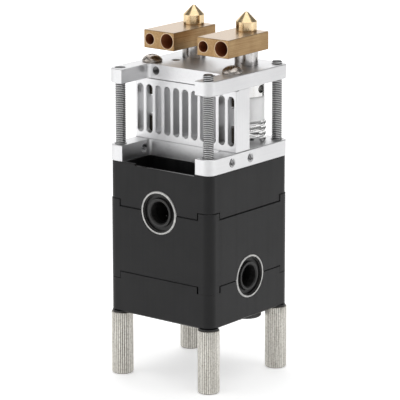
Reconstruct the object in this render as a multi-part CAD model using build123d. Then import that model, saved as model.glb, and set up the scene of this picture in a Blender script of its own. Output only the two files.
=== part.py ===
"""Dual-nozzle print head, standing nozzles-up on its four thumb screws. Millimetres, +Z up.

The origin is the centre of the square that the four thumb-screw knobs stand on. The fan bay opens
towards -Y, which is called the front, and the two hot ends stand side by side along X.
"""
import os

from build123d import *

# ---- driving dimensions -------------------------------------------------------------------------
HEAD = 35.0                 # side of the square head, and the length of both linear bearings
CORNER_R = 2.5              # rounding of the head's vertical corners
SCREW_PITCH = 30.0          # square of the four thumb screws
SPLIT_STEP = 0.2            # the upper housing stands this far inside the others on every side

PLAY = 0.02                 # gap between parts that are pushed together
OVER = 1.0                  # how far a cutter runs past the face that it cuts

# broken edges
HOUSING_EDGE = 0.4
SEAM_EDGE = 0.2
PLATE_EDGE = 0.15
POST_EDGE = 0.1
SMALL_EDGE = 0.2

# heights of the stacked layers
KNOB_TOP = 17.6
BODY_BOTTOM = 18.0
LOW_SEAM = 29.5             # also the axis height of the lower bearing, which runs along X
HIGH_SEAM = 47.7            # also the axis height of the upper bearing, which runs along Y
BODY_TOP = 60.0
LOW_PLATE_TOP = 64.4
HIGH_PLATE_BOTTOM = 81.3
HIGH_PLATE_TOP = 85.2
HEATER_BOTTOM = 89.5
HEATER_TOP = 94.4
NOZZLE_TIP = 99.5

# corner posts of the middle housing
POST = 4.0                  # side of the square post
POST_UP = 1.9
POST_DOWN = 1.9
POST_BOSS_R = 2.4           # round wall of a post about its screw hole
POST_HEAD_GAP = 0.1         # play above a post
POST_PLAY = {               # slit beside each post, and play under its foot
    "front_left": (0.12, 0.15),
    "front_right": (0.5, 0.02),
    "rear_right": (0.12, 0.15),
    "rear_left": (0.12, 0.15),
}

# cable well in the top of the upper housing
WELL_HALF = 12.0
WELL_WALL = 0.75            # the thin front wall of the well
WELL_REAR_Y = -6.4
WELL_FLOOR = 54.6
WELL_DEEP_FLOOR = 50.2      # on both sides of the bearing
WELL_DEEP_IN = 7.6
LIP_NOTCH_LEFT = -8.3       # the front wall is a little lower to the right of this
LIP_NOTCH_DEPTH = 0.5

# linear bearings
BEARING_R = 6.0
BEARING_SEAT_R = 6.02
ROD_R = 3.03                # bore for a 6 mm rod with running clearance
SEAL_R = 5.35
SEAL_SEAT_R = 5.4
SEAL_DEPTH = 2.6            # length of a seal's seat in each end of the sleeve
SEAL_INSET = 0.35
SEAL_LIP = (0.85, 0.1)      # width of the raised lip round the rod, and its height over the face
SEAL_LIP_EDGE = (0.3, 0.3)
SEAL_LIP_FLARE = 0.2
SEAL_RIM = (0.3, 0.15)      # width of the rim at the sleeve, and its depth below the face
SEAL_GROOVE = 0.7           # depth of the groove between lip and rim
RACE_R = 4.6
CAGE_R = 4.5
BALL_R = 0.75
BALL_ROWS = 4
BALLS_PER_ROW = 10
BALL_SPACING = 2.6
GROOVE_SPAN = 27.0          # distance over the two retaining-ring grooves
GROOVE_WIDTH = 1.1
GROOVE_DEPTH = 0.25
BALL_PLAY = 0.05            # radial play of a ball in the cage
SEAL_BACK_GAP = 0.05

# filament path: a 4 mm tube with a 2 mm bore
NOZZLE_SPACING = 18.0
TUBE_Y = 9.2                # both tubes stand this far behind the head's centre
TUBE_BORE_R = 2.05
TUBE_PASS_R = 2.2
FILAMENT_R = 1.0
ORIFICE_R = 0.2

# tube collets in the underside of the lower housing
COLLET_FLANGE_R = 4.3
COLLET_FLANGE_BOTTOM = 14.9
COLLET_FLANGE_TOP = 16.5
COLLET_NECK_R = 3.0
COLLET_HOOK_R = 3.3
COLLET_HOOK_BOTTOM = 20.65
COLLET_TOP = 22.2
COLLET_SLIT = 0.6
COLLET_SLIT_BOTTOM = 18.4
SEAT_R = 3.7
SEAT_NECK_R = 3.05
SEAT_SHOULDER = 20.6
SEAT_TOP = 24.2
SEAT_HOLLOW_R = 3.42
SEAT_ROOF = 0.6             # thickness of the seat above its hollow
COLLET_EDGE = 0.25

# plates
BAY_WIDTH = 25.0            # fan bay between the plates' ears
BAY_DEPTH = 11.5
BAY_CORNER_R = 1.2
FAN_HOLE_SPACING = 20.0
FAN_HOLE_R = 1.15
FAN_HOLE_Z = 83.5
FAN_HOLE_DEPTH = 5.5
SIDE_HOLE_R = 1.25
SIDE_HOLE_Z = 62.2
SIDE_HOLE_FRONT_Y = -8.0
SIDE_HOLE_REAR_Y = 0.0
SIDE_HOLE_DEPTH = 7.0
TOP_HOLE_X = 9.7
TOP_HOLE_Y = 2.3

# cooling block
BLOCK_WIDTH = 34.6
BLOCK_DEPTH = 6.0
SLOT_COUNT = 11
SLOT_PITCH = 3.1
SLOT_WIDTH = 2.1
SLOT_BOTTOM = 66.1
SLOT_TOP = 79.4
SLOT_EDGE = 0.12
BLOCK_RELIEF = (1.2, 0.25)  # depth and height of the relief along the block's top front edge

# M3 screws that hold the cooling block
BLOCK_SCREW_X = 13.7
M3_R = 1.45
M3_HOLE_R = 1.55
PAN_HEAD_R = 2.8
PAN_HEAD_RIM = 0.5
PAN_HEAD_HEIGHT = 1.9
PAN_HEAD_EDGE = 0.1
PAN_DOME = (0.72, 0.66)     # a point of the dome, as shares of its radius and its rise
PAN_TIP_Z = 76.3
FLAT_HEAD_R = 2.7
FLAT_HEAD_RIM = 0.25
FLAT_HEAD_HEIGHT = 1.6
FLAT_TIP_Z = 70.5
FLAT_HEAD_SUNK = 0.05       # how far the countersunk heads lie below the plate's underside
SINK_PLAY = 0.1
SCREW_TIP_GAP = 0.6         # depth of a screw hole beyond the screw's tip
RECESS_LENGTH = 3.0
RECESS_WIDTH = 0.7
RECESS_DEPTH = 1.0
RECESS_FOOT = (1.0, 0.5)    # length and width of a wing at its foot
RECESS_OVER = 0.5

# thumb screws
KNOB_R = 3.0
KNURL_TEETH = 32
KNURL_DEPTH = 0.2
KNOB_FOOT_EDGE = 0.45
KNOB_TOP_EDGE = 0.3
TIP_EDGE = 0.3
SHAFT_R = 1.45
TAPPED_R = 1.5              # threaded hole for the shaft, as a plain running fit
SHAFT_HOLE_R = 1.65
WASHER_R = 2.6
TIPS = {"front_left": 85.0, "front_right": 86.8, "rear_right": 86.0, "rear_left": 86.0}

# steel couplers, liner couplers and springs
COLLAR_R = 5.05
COLLAR_BOTTOM = 76.8
COLLAR_TOP = 81.28
STEM_R = 3.2
STEM_HOLE_R = 3.26
THREAD_R = 2.45
HEATER_THREAD_R = 2.5
TOMMY_HOLE_R = 1.1
TOMMY_HOLE_Z = 79.0
TOMMY_HOLE_IN = 2.0         # from the coupler's axis to the bottom of each hole
COUPLER_THREAD_TOP = 91.9
LINER_R = 5.0
LINER_BOTTOM = 70.2
SPIGOT_R = 4.1
SPIGOT_BOTTOM = 67.0
TUBE_STOP_Z = 74.8
SPRING_MEAN_R = 5.0
SPRING_WIRE_R = 0.5
SPRING_TURNS = 3.25

# heater blocks
HEATER_WIDTH = 10.3
HEATER_LENGTH = 18.2
HEATER_LEFT = 4.9           # from the nozzle's axis to the block's -X side
HEATER_BACK = 2.75          # from the nozzle's axis to the block's rear end
HEATER_TURN = {"left": 0.0, "right": 1.3}
SENSOR_R = 1.5
SENSOR_IN = 2.0             # hole centres from the block's -X side
CARTRIDGE_R = 2.05
CARTRIDGE_IN = 7.95
HEATER_HOLE_DEPTH = 11.5
HEATER_EDGE = 0.12

# nozzles
NOZZLE_R = 2.86
NOZZLE_FLATS = 2.77         # half the width across the flats
NOZZLE_FLATS_BOTTOM = 94.7
NOZZLE_SHOULDER = 97.0
NOZZLE_FACE_R = 0.42
NOZZLE_EDGE = 0.15
NOZZLE_ROOT = 0.5           # how far the threaded shank runs on into the nozzle's body
NOZZLE_THREAD_BOTTOM = 92.0
NOZZLE_FACING = -51.65      # direction of one flat, degrees from +X

SIDES = {"left": -1, "right": 1}
CORNERS = {
    "front_left": (-1, -1),
    "front_right": (1, -1),
    "rear_right": (1, 1),
    "rear_left": (-1, 1),
}
BAY_FACE_Y = BAY_DEPTH - HEAD / 2
BLOCK_Y = BAY_FACE_Y + BLOCK_DEPTH / 2


# ---- small shape makers -------------------------------------------------------------------------
def rod(x, y, low, high, radius):
    """A vertical cylinder between two heights."""
    upright = Cylinder(radius, high - low, align=(Align.CENTER, Align.CENTER, Align.MIN))
    return Pos(x, y, low) * upright


def rod_x(low, high, y, z, radius):
    """A cylinder along X."""
    return Pos((low + high) / 2, y, z) * Rot(0, 90, 0) * Cylinder(radius, high - low)


def rod_y(low, high, x, z, radius):
    """A cylinder along Y."""
    return Pos(x, (low + high) / 2, z) * Rot(90, 0, 0) * Cylinder(radius, high - low)


def block(x, y, z):
    """A box from three (low, high) pairs."""
    middle = Pos((x[0] + x[1]) / 2, (y[0] + y[1]) / 2, (z[0] + z[1]) / 2)
    return middle * Box(x[1] - x[0], y[1] - y[0], z[1] - z[0])


def turned(outline):
    """A solid turned about Z from (radius, height) corners."""
    face = make_face(Polyline(*[(radius, 0, height) for radius, height in outline], close=True))
    return revolve(face, Axis.Z)


def slab(side, low, high, low_edge=PLATE_EDGE, high_edge=PLATE_EDGE):
    """A square layer of the head with rounded corners and broken bottom and top edges."""
    corner = CORNER_R - (HEAD - side) / 2
    base = Pos(0, 0, low) * extrude(RectangleRounded(side, side, corner), high - low)
    base = chamfer(base.edges().group_by(Axis.Z)[0], low_edge)
    return chamfer(base.edges().group_by(Axis.Z)[-1], high_edge)


def corner_points():
    return [(sx * SCREW_PITCH / 2, sy * SCREW_PITCH / 2) for sx, sy in CORNERS.values()]


def tube_points():
    return [(side * NOZZLE_SPACING / 2, TUBE_Y) for side in SIDES.values()]


def save(name, *solids):
    """Writes one node, which holds one solid or a group of separate ones."""
    shape = solids[0] if len(solids) == 1 else Compound(children=list(solids))
    export_step(shape, f"parts/{name}.step")


# ---- housing ------------------------------------------------------------------------------------
def corner_post(corner, low, high, gap=0.0):
    """A post of the middle housing, or with a gap the notch that it stands in."""
    sx, sy = CORNERS[corner]
    inner = HEAD / 2 - POST - gap
    outer = HEAD / 2 + gap
    xs = sorted((sx * inner, sx * outer))
    ys = sorted((sy * inner, sy * outer))
    x, y = sx * SCREW_PITCH / 2, sy * SCREW_PITCH / 2
    return block(xs, ys, (low, high)) + rod(x, y, low, high, POST_BOSS_R + gap)


def drill_housing(shell, low, high):
    for x, y in corner_points():
        shell -= rod(x, y, low - OVER, high + OVER, SHAFT_HOLE_R)
    for x, y in tube_points():
        shell -= rod(x, y, low - OVER, high + OVER, TUBE_PASS_R)
    return shell


def lower_housing():
    shell = slab(HEAD, BODY_BOTTOM, LOW_SEAM, HOUSING_EDGE, SEAM_EDGE)
    shell -= rod_x(-HEAD, HEAD, 0, LOW_SEAM, BEARING_SEAT_R)
    for corner, (slit, foot_gap) in POST_PLAY.items():
        shell -= corner_post(corner, LOW_SEAM - POST_DOWN - foot_gap, LOW_SEAM + OVER, slit)
    for x, y in tube_points():
        shell -= rod(x, y, BODY_BOTTOM - OVER, SEAT_TOP, SEAT_R + PLAY)
    return drill_housing(shell, BODY_BOTTOM, LOW_SEAM)


def middle_housing():
    shell = slab(HEAD, LOW_SEAM, HIGH_SEAM)
    low, high = LOW_SEAM - POST_DOWN, HIGH_SEAM + POST_UP
    outline = slab(HEAD, low, high, PLAY, POST_EDGE)
    for corner in CORNERS:
        shell += corner_post(corner, low, high) & outline
    shell -= rod_x(-HEAD, HEAD, 0, LOW_SEAM, BEARING_SEAT_R)
    shell -= rod_y(-HEAD, HEAD, 0, HIGH_SEAM, BEARING_SEAT_R)
    return drill_housing(shell, low, high)


def upper_housing():
    side = HEAD - 2 * SPLIT_STEP
    shell = slab(side, HIGH_SEAM, BODY_TOP, SEAM_EDGE)
    shell -= rod_y(-HEAD, HEAD, 0, HIGH_SEAM, BEARING_SEAT_R)
    for corner, (slit, _) in POST_PLAY.items():
        shell -= corner_post(corner, HIGH_SEAM - OVER, HIGH_SEAM + POST_UP + POST_HEAD_GAP, slit)
    front = WELL_WALL - side / 2
    shell -= block((-WELL_HALF, WELL_HALF), (front, WELL_REAR_Y), (WELL_FLOOR, BODY_TOP + OVER))
    for sx in SIDES.values():
        xs = sorted((sx * WELL_DEEP_IN, sx * WELL_HALF))
        shell -= block(xs, (front, WELL_REAR_Y), (WELL_DEEP_FLOOR, BODY_TOP))
    notch_z = (BODY_TOP - LIP_NOTCH_DEPTH, BODY_TOP + OVER)
    shell -= block((LIP_NOTCH_LEFT, WELL_HALF), (-HEAD, front + PLAY), notch_z)
    return drill_housing(shell, HIGH_SEAM, BODY_TOP)


# ---- linear bearings, made along Z about the origin ---------------------------------------------
def bearing_sleeve():
    half = HEAD / 2
    bore = half - SEAL_DEPTH
    sleeve = rod(0, 0, -half, half, BEARING_R)
    sleeve = chamfer(sleeve.edges(), PLATE_EDGE)
    sleeve -= rod(0, 0, -half - OVER, half + OVER, RACE_R)
    for low, high in ((-half - OVER, -bore), (bore, half + OVER)):
        sleeve -= rod(0, 0, low, high, SEAL_SEAT_R)
    for side in SIDES.values():
        z = side * (GROOVE_SPAN - GROOVE_WIDTH) / 2
        low, high = z - GROOVE_WIDTH / 2, z + GROOVE_WIDTH / 2
        ring = rod(0, 0, low, high, BEARING_R + OVER) - rod(0, 0, low, high, BEARING_R - GROOVE_DEPTH)
        sleeve -= ring
    return sleeve


def bearing_seal(side):
    """A rubber end seal: a flat ring with a raised rim round the rod and a groove outside it."""
    back = HEAD / 2 - SEAL_DEPTH + SEAL_BACK_GAP
    face = HEAD / 2 - SEAL_INSET
    rim_in, rim_top = SEAL_R - SEAL_RIM[0], face - SEAL_RIM[1]
    lip_out, lip_top = ROD_R + SEAL_LIP[0], face + SEAL_LIP[1]
    outline = [
        (ROD_R, back),
        (SEAL_R, back),
        (SEAL_R, rim_top),
        (rim_in, rim_top),
        (rim_in, face - SEAL_GROOVE),
        (lip_out + SEAL_LIP_FLARE, face - SEAL_GROOVE),
        (lip_out, lip_top),
        (ROD_R + SEAL_LIP_EDGE[0], lip_top),
        (ROD_R, lip_top - SEAL_LIP_EDGE[1]),
    ]
    seal = turned(outline)
    return seal if side > 0 else Rot(180, 0, 0) * seal


def ball_places():
    """(angle, height) of every ball, with neighbouring rows half a spacing apart."""
    places = []
    for row in range(BALL_ROWS):
        offset = BALL_SPACING / 4 if row % 2 else -BALL_SPACING / 4
        for k in range(BALLS_PER_ROW):
            z = (k - (BALLS_PER_ROW - 1) / 2) * BALL_SPACING + offset
            places.append((45 + 360 / BALL_ROWS * row, z))
    return places


def bearing_cage():
    half = HEAD / 2 - SEAL_DEPTH - SEAL_BACK_GAP
    cage = rod(0, 0, -half, half, CAGE_R) - rod(0, 0, -half - OVER, half + OVER, ROD_R)
    for angle, z in ball_places():
        cage -= Rot(0, 0, angle) * rod_x(ROD_R - OVER, CAGE_R + OVER, 0, z, BALL_R + BALL_PLAY)
    return cage


def bearing_balls():
    centre_r = ROD_R + BALL_R + PLAY
    return [Rot(0, 0, angle) * Pos(centre_r, 0, z) * Sphere(BALL_R) for angle, z in ball_places()]


def save_bearing(name, place):
    save(f"{name}_sleeve", place * bearing_sleeve())
    save(f"{name}_cage", place * bearing_cage())
    save(f"{name}_balls", *[place * ball for ball in bearing_balls()])
    save(f"{name}_seals", *[place * bearing_seal(side) for side in SIDES.values()])


# ---- plates and cooling block -------------------------------------------------------------------
def plate_blank(low, high, screw_hole_r):
    """A plate with the fan bay cut into its front and a hole for each thumb screw."""
    plate = slab(HEAD, low, high)
    ear_y = -HEAD / 2
    bay = block((-BAY_WIDTH / 2, BAY_WIDTH / 2), (ear_y - OVER, BAY_FACE_Y), (low - OVER, high + OVER))
    rear = bay.edges().filter_by(Axis.Z).group_by(Axis.Y)[-1]
    plate -= fillet(rear, BAY_CORNER_R)
    for x, y in corner_points():
        plate -= rod(x, y, low - OVER, high + OVER, screw_hole_r)
    return plate


def lower_plate():
    plate = plate_blank(BODY_TOP, LOW_PLATE_TOP, SHAFT_HOLE_R)
    for x, y in tube_points():
        plate -= rod(x, y, BODY_TOP - OVER, LOW_PLATE_TOP + OVER, TUBE_PASS_R)
    sink = [
        (0, BODY_TOP - SINK_PLAY),
        (FLAT_HEAD_R + SINK_PLAY, BODY_TOP - SINK_PLAY),
        (FLAT_HEAD_R + SINK_PLAY, BODY_TOP + FLAT_HEAD_RIM + SINK_PLAY),
        (M3_HOLE_R, BODY_TOP + FLAT_HEAD_HEIGHT + SINK_PLAY),
        (M3_HOLE_R, LOW_PLATE_TOP + OVER),
        (0, LOW_PLATE_TOP + OVER),
    ]
    for side in SIDES.values():
        plate -= Pos(side * BLOCK_SCREW_X, BLOCK_Y, 0) * turned(sink)
        outer = side * (HEAD / 2 + OVER)
        through = sorted((outer, side * (BAY_WIDTH / 2 - OVER)))
        blind = sorted((outer, side * (HEAD / 2 - SIDE_HOLE_DEPTH)))
        plate -= rod_x(*through, SIDE_HOLE_FRONT_Y, SIDE_HOLE_Z, SIDE_HOLE_R)
        plate -= rod_x(*blind, SIDE_HOLE_REAR_Y, SIDE_HOLE_Z, SIDE_HOLE_R)
    return plate


def upper_plate():
    plate = plate_blank(HIGH_PLATE_BOTTOM, HIGH_PLATE_TOP, TAPPED_R)
    low, high = HIGH_PLATE_BOTTOM - OVER, HIGH_PLATE_TOP + OVER
    for x, y in tube_points():
        plate -= rod(x, y, low, high, STEM_HOLE_R)
    for side in SIDES.values():
        plate -= rod(side * BLOCK_SCREW_X, BLOCK_Y, low, high, M3_HOLE_R)
        plate -= rod(side * TOP_HOLE_X, TOP_HOLE_Y, low, high, SIDE_HOLE_R)
        fan_x = side * FAN_HOLE_SPACING / 2
        plate -= rod_y(BAY_FACE_Y - OVER, BAY_FACE_Y + FAN_HOLE_DEPTH, fan_x, FAN_HOLE_Z, FAN_HOLE_R)
    return plate


def cooling_block():
    half = BLOCK_WIDTH / 2
    ys = (BAY_FACE_Y, BAY_FACE_Y + BLOCK_DEPTH)
    body = block((-half, half), ys, (LOW_PLATE_TOP, HIGH_PLATE_BOTTOM))
    body = chamfer(body.edges(), PLATE_EDGE)
    relief_y = (BAY_FACE_Y - OVER, BAY_FACE_Y + BLOCK_RELIEF[0])
    body -= block((-HEAD, HEAD), relief_y, (HIGH_PLATE_BOTTOM - BLOCK_RELIEF[1], HIGH_PLATE_TOP))
    slot = SlotCenterToCenter(SLOT_TOP - SLOT_BOTTOM - SLOT_WIDTH, SLOT_WIDTH, rotation=90)
    cutter = extrude(Plane.XZ * slot, BLOCK_DEPTH, both=True)
    middle_z = (SLOT_TOP + SLOT_BOTTOM) / 2
    for k in range(SLOT_COUNT):
        x = (k - (SLOT_COUNT - 1) / 2) * SLOT_PITCH
        body -= Pos(x, BLOCK_Y, middle_z) * cutter
    rims = body.faces().sort_by(Axis.Y)[0].inner_wires()
    body = chamfer([edge for wire in rims for edge in wire.edges()], SLOT_EDGE)
    for side in SIDES.values():
        x = side * BLOCK_SCREW_X
        body -= rod(x, BLOCK_Y, PAN_TIP_Z - SCREW_TIP_GAP, HIGH_PLATE_BOTTOM + OVER, M3_HOLE_R)
        body -= rod(x, BLOCK_Y, LOW_PLATE_TOP - OVER, FLAT_TIP_Z + SCREW_TIP_GAP, M3_HOLE_R)
    return body


# ---- screws -------------------------------------------------------------------------------------
def cross_recess(top):
    """A cross-shaped recess that narrows downwards from the given height."""
    recess = None
    for turn in (0, 90):
        mouth = Pos(0, 0, top + RECESS_OVER) * Rot(0, 0, turn) * Rectangle(RECESS_LENGTH, RECESS_WIDTH)
        foot = Pos(0, 0, top - RECESS_DEPTH) * Rot(0, 0, turn) * Rectangle(*RECESS_FOOT)
        wing = loft([foot, mouth])
        recess = wing if recess is None else recess + wing
    return recess


def pan_screw(x):
    seat = HIGH_PLATE_TOP
    rim = seat + PAN_HEAD_RIM
    crown = seat + PAN_HEAD_HEIGHT
    dome = ThreePointArc(
        (PAN_HEAD_R, 0, rim),
        (PAN_HEAD_R * PAN_DOME[0], 0, rim + (crown - rim) * PAN_DOME[1]),
        (0, 0, crown),
    )
    sides = Polyline((0, 0, crown), (0, 0, seat), (PAN_HEAD_R - PAN_HEAD_EDGE, 0, seat), (PAN_HEAD_R, 0, rim))
    head = revolve(make_face(dome + sides), Axis.Z)
    screw = head - cross_recess(crown)
    screw += rod(0, 0, PAN_TIP_Z, seat, M3_R)
    return Pos(x, BLOCK_Y, 0) * screw


def flat_screw(x):
    low = BODY_TOP + FLAT_HEAD_SUNK
    outline = [
        (0, low),
        (FLAT_HEAD_R, low),
        (FLAT_HEAD_R, low + FLAT_HEAD_RIM),
        (M3_R, low + FLAT_HEAD_HEIGHT),
        (M3_R, FLAT_TIP_Z),
        (0, FLAT_TIP_Z),
    ]
    recess = Pos(0, 0, low) * Rot(180, 0, 0) * cross_recess(0)
    return Pos(x, BLOCK_Y, 0) * (turned(outline) - recess)


def knurled_knob():
    """The straight-knurled knob: V grooves all round, with both ends broken."""
    step = 360 / (2 * KNURL_TEETH)
    radii = (KNOB_R, KNOB_R - KNURL_DEPTH)
    teeth = [Vector(radii[k % 2], 0).rotate(Axis.Z, k * step) for k in range(2 * KNURL_TEETH)]
    knurl = extrude(make_face(Polyline(*teeth, close=True)), KNOB_TOP)
    envelope = rod(0, 0, 0, KNOB_TOP, KNOB_R + PLAY)
    ends = envelope.edges().filter_by(GeomType.CIRCLE).group_by(Axis.Z)
    envelope = chamfer(ends[0], KNOB_FOOT_EDGE)
    envelope = chamfer(envelope.edges().filter_by(GeomType.CIRCLE).group_by(Axis.Z)[-1], KNOB_TOP_EDGE)
    return knurl & envelope


def thumb_screw(x, y, tip):
    shaft = rod(0, 0, KNOB_TOP - OVER, tip, SHAFT_R)
    shaft = chamfer(shaft.edges().group_by(Axis.Z)[-1], TIP_EDGE)
    return Pos(x, y, 0) * (knurled_knob() + shaft)


def thumb_washer(x, y):
    ring = rod(0, 0, KNOB_TOP, BODY_BOTTOM, WASHER_R) - rod(0, 0, 0, BODY_TOP, TAPPED_R)
    return Pos(x, y, 0) * ring


# ---- filament path ------------------------------------------------------------------------------
def collet(x, y):
    body = rod(0, 0, COLLET_FLANGE_BOTTOM, COLLET_FLANGE_TOP, COLLET_FLANGE_R)
    body = chamfer(body.edges(), COLLET_EDGE)
    body += rod(0, 0, COLLET_FLANGE_BOTTOM + OVER, COLLET_TOP, COLLET_NECK_R)
    hook = rod(0, 0, COLLET_HOOK_BOTTOM, COLLET_TOP, COLLET_HOOK_R)
    body += chamfer(hook.edges().group_by(Axis.Z)[-1], COLLET_EDGE)
    body -= rod(0, 0, COLLET_FLANGE_BOTTOM - OVER, COLLET_TOP + OVER, TUBE_BORE_R)
    for turn in (0, 90):
        slit = block(
            (-COLLET_FLANGE_R, COLLET_FLANGE_R),
            (-COLLET_SLIT / 2, COLLET_SLIT / 2),
            (COLLET_SLIT_BOTTOM, COLLET_TOP + OVER),
        )
        body -= Rot(0, 0, turn + 45) * slit
    return Pos(x, y, 0) * body


def collet_seat(x, y):
    seat = rod(0, 0, BODY_BOTTOM, SEAT_TOP, SEAT_R)
    seat -= rod(0, 0, BODY_BOTTOM - OVER, SEAT_SHOULDER + OVER, SEAT_NECK_R)
    seat -= rod(0, 0, SEAT_SHOULDER, SEAT_TOP - SEAT_ROOF, SEAT_HOLLOW_R)
    seat -= rod(0, 0, SEAT_SHOULDER, SEAT_TOP + OVER, TUBE_PASS_R)
    return Pos(x, y, 0) * seat


def liner_coupler(x, y):
    body = rod(0, 0, LINER_BOTTOM, COLLAR_BOTTOM, LINER_R)
    body = chamfer(body.edges(), SMALL_EDGE)
    body += rod(0, 0, SPIGOT_BOTTOM, LINER_BOTTOM + OVER, SPIGOT_R)
    body -= rod(0, 0, SPIGOT_BOTTOM - OVER, TUBE_STOP_Z, TUBE_BORE_R)
    body -= rod(0, 0, SPIGOT_BOTTOM, COLLAR_BOTTOM + OVER, FILAMENT_R)
    return Pos(x, y, 0) * body


def coupler_spring(x, y):
    low = LOW_PLATE_TOP + SPRING_WIRE_R
    rise = LINER_BOTTOM - SPRING_WIRE_R - low
    coil = Helix(pitch=rise / SPRING_TURNS, height=rise, radius=SPRING_MEAN_R)
    wire = Plane(origin=coil @ 0, z_dir=coil % 0) * Circle(SPRING_WIRE_R)
    return Pos(x, y, low) * sweep(wire, path=coil, is_frenet=True)


def steel_coupler(x, y):
    body = rod(0, 0, COLLAR_BOTTOM, COLLAR_TOP, COLLAR_R)
    body = chamfer(body.edges(), SMALL_EDGE)
    body += rod(0, 0, COLLAR_TOP - OVER, HEATER_BOTTOM, STEM_R)
    body += rod(0, 0, HEATER_BOTTOM - OVER, COUPLER_THREAD_TOP, THREAD_R)
    body -= rod(0, 0, COLLAR_BOTTOM - OVER, COUPLER_THREAD_TOP + OVER, FILAMENT_R)
    for side in SIDES.values():
        low, high = sorted((side * TOMMY_HOLE_IN, side * (COLLAR_R + OVER)))
        body -= rod_x(low, high, 0, TOMMY_HOLE_Z, TOMMY_HOLE_R)
        body -= rod_y(low, high, 0, TOMMY_HOLE_Z, TOMMY_HOLE_R)
    return Pos(x, y, 0) * body


def heater_block(x, y, turn):
    """The brass block, drilled from the front for a sensor and a cartridge, turned about its nozzle."""
    left, right = -HEATER_LEFT, HEATER_WIDTH - HEATER_LEFT
    front, back = HEATER_BACK - HEATER_LENGTH, HEATER_BACK
    body = block((left, right), (front, back), (HEATER_BOTTOM, HEATER_TOP))
    body = chamfer(body.edges(), HEATER_EDGE)
    middle_z = (HEATER_BOTTOM + HEATER_TOP) / 2
    for inset, radius in ((SENSOR_IN, SENSOR_R), (CARTRIDGE_IN, CARTRIDGE_R)):
        body -= rod_y(front - OVER, front + HEATER_HOLE_DEPTH, left + inset, middle_z, radius)
    body -= rod(0, 0, HEATER_BOTTOM - OVER, HEATER_TOP + OVER, HEATER_THREAD_R)
    return Pos(x, y, 0) * Rot(0, 0, turn) * body


def nozzle(x, y):
    outline = [
        (0, HEATER_TOP),
        (NOZZLE_R - NOZZLE_EDGE, HEATER_TOP),
        (NOZZLE_R, HEATER_TOP + NOZZLE_EDGE),
        (NOZZLE_R, NOZZLE_SHOULDER),
        (NOZZLE_FACE_R, NOZZLE_TIP),
        (0, NOZZLE_TIP),
    ]
    body = turned(outline)
    hexagon = RegularPolygon(NOZZLE_FLATS, 6, major_radius=False, rotation=NOZZLE_FACING - 30)
    low, high = NOZZLE_FLATS_BOTTOM, NOZZLE_SHOULDER
    ring = rod(0, 0, low, high, NOZZLE_R + OVER) - Pos(0, 0, low) * extrude(hexagon, high - low)
    body -= ring
    body += rod(0, 0, NOZZLE_THREAD_BOTTOM, HEATER_TOP + NOZZLE_ROOT, THREAD_R)
    body -= rod(0, 0, NOZZLE_THREAD_BOTTOM - OVER, NOZZLE_SHOULDER, FILAMENT_R)
    body -= rod(0, 0, NOZZLE_SHOULDER - OVER, NOZZLE_TIP + OVER, ORIFICE_R)
    return Pos(x, y, 0) * body


# ---- the assembly -------------------------------------------------------------------------------
def main():
    os.makedirs("parts", exist_ok=True)
    save("lower_housing", lower_housing())
    save("middle_housing", middle_housing())
    save("upper_housing", upper_housing())
    save_bearing("lower_bearing", Pos(0, 0, LOW_SEAM) * Rot(0, 90, 0))
    save_bearing("upper_bearing", Pos(0, 0, HIGH_SEAM) * Rot(90, 0, 0))
    save("lower_plate", lower_plate())
    save("upper_plate", upper_plate())
    save("cooling_block", cooling_block())
    save("pan_screws", *[pan_screw(side * BLOCK_SCREW_X) for side in SIDES.values()])
    save("countersunk_screws", *[flat_screw(side * BLOCK_SCREW_X) for side in SIDES.values()])
    for corner, (sx, sy) in CORNERS.items():
        x, y = sx * SCREW_PITCH / 2, sy * SCREW_PITCH / 2
        save(f"thumb_screw_{corner}", thumb_screw(x, y, TIPS[corner]))
        save(f"thumb_washer_{corner}", thumb_washer(x, y))
    for name, side in SIDES.items():
        x, y = side * NOZZLE_SPACING / 2, TUBE_Y
        save(f"tube_collet_{name}", collet(x, y))
        save(f"collet_seat_{name}", collet_seat(x, y))
        save(f"coupler_spring_{name}", coupler_spring(x, y))
        save(f"liner_coupler_{name}", liner_coupler(x, y))
        save(f"steel_coupler_{name}", steel_coupler(x, y))
        save(f"heater_block_{name}", heater_block(x, y, HEATER_TURN[name]))
        save(f"nozzle_{name}", nozzle(x, y))


main()
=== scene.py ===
"""Looks of the dual-nozzle print head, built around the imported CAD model. Metres, +Z up."""

import math
import random

import bmesh
import bpy
from mathutils import Matrix, Vector


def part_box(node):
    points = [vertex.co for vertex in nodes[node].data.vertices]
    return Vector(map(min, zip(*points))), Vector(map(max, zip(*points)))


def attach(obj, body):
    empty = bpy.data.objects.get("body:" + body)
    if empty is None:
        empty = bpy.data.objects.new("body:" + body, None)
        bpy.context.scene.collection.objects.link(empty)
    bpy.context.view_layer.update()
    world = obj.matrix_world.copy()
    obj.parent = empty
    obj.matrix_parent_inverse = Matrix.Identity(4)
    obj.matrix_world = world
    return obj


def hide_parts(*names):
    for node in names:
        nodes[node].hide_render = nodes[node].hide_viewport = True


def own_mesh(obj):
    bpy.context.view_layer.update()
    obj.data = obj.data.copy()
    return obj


MM = 0.001
TAU = 2 * math.pi

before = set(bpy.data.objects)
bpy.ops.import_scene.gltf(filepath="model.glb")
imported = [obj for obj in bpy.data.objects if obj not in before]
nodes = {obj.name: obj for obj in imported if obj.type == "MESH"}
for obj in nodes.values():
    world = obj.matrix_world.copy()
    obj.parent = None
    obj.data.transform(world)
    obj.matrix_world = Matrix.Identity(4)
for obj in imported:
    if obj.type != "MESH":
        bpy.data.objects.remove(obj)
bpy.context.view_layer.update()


scene = bpy.context.scene

SIDES = {"left": -1, "right": 1}
CORNERS = ("front_left", "front_right", "rear_right", "rear_left")


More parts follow.
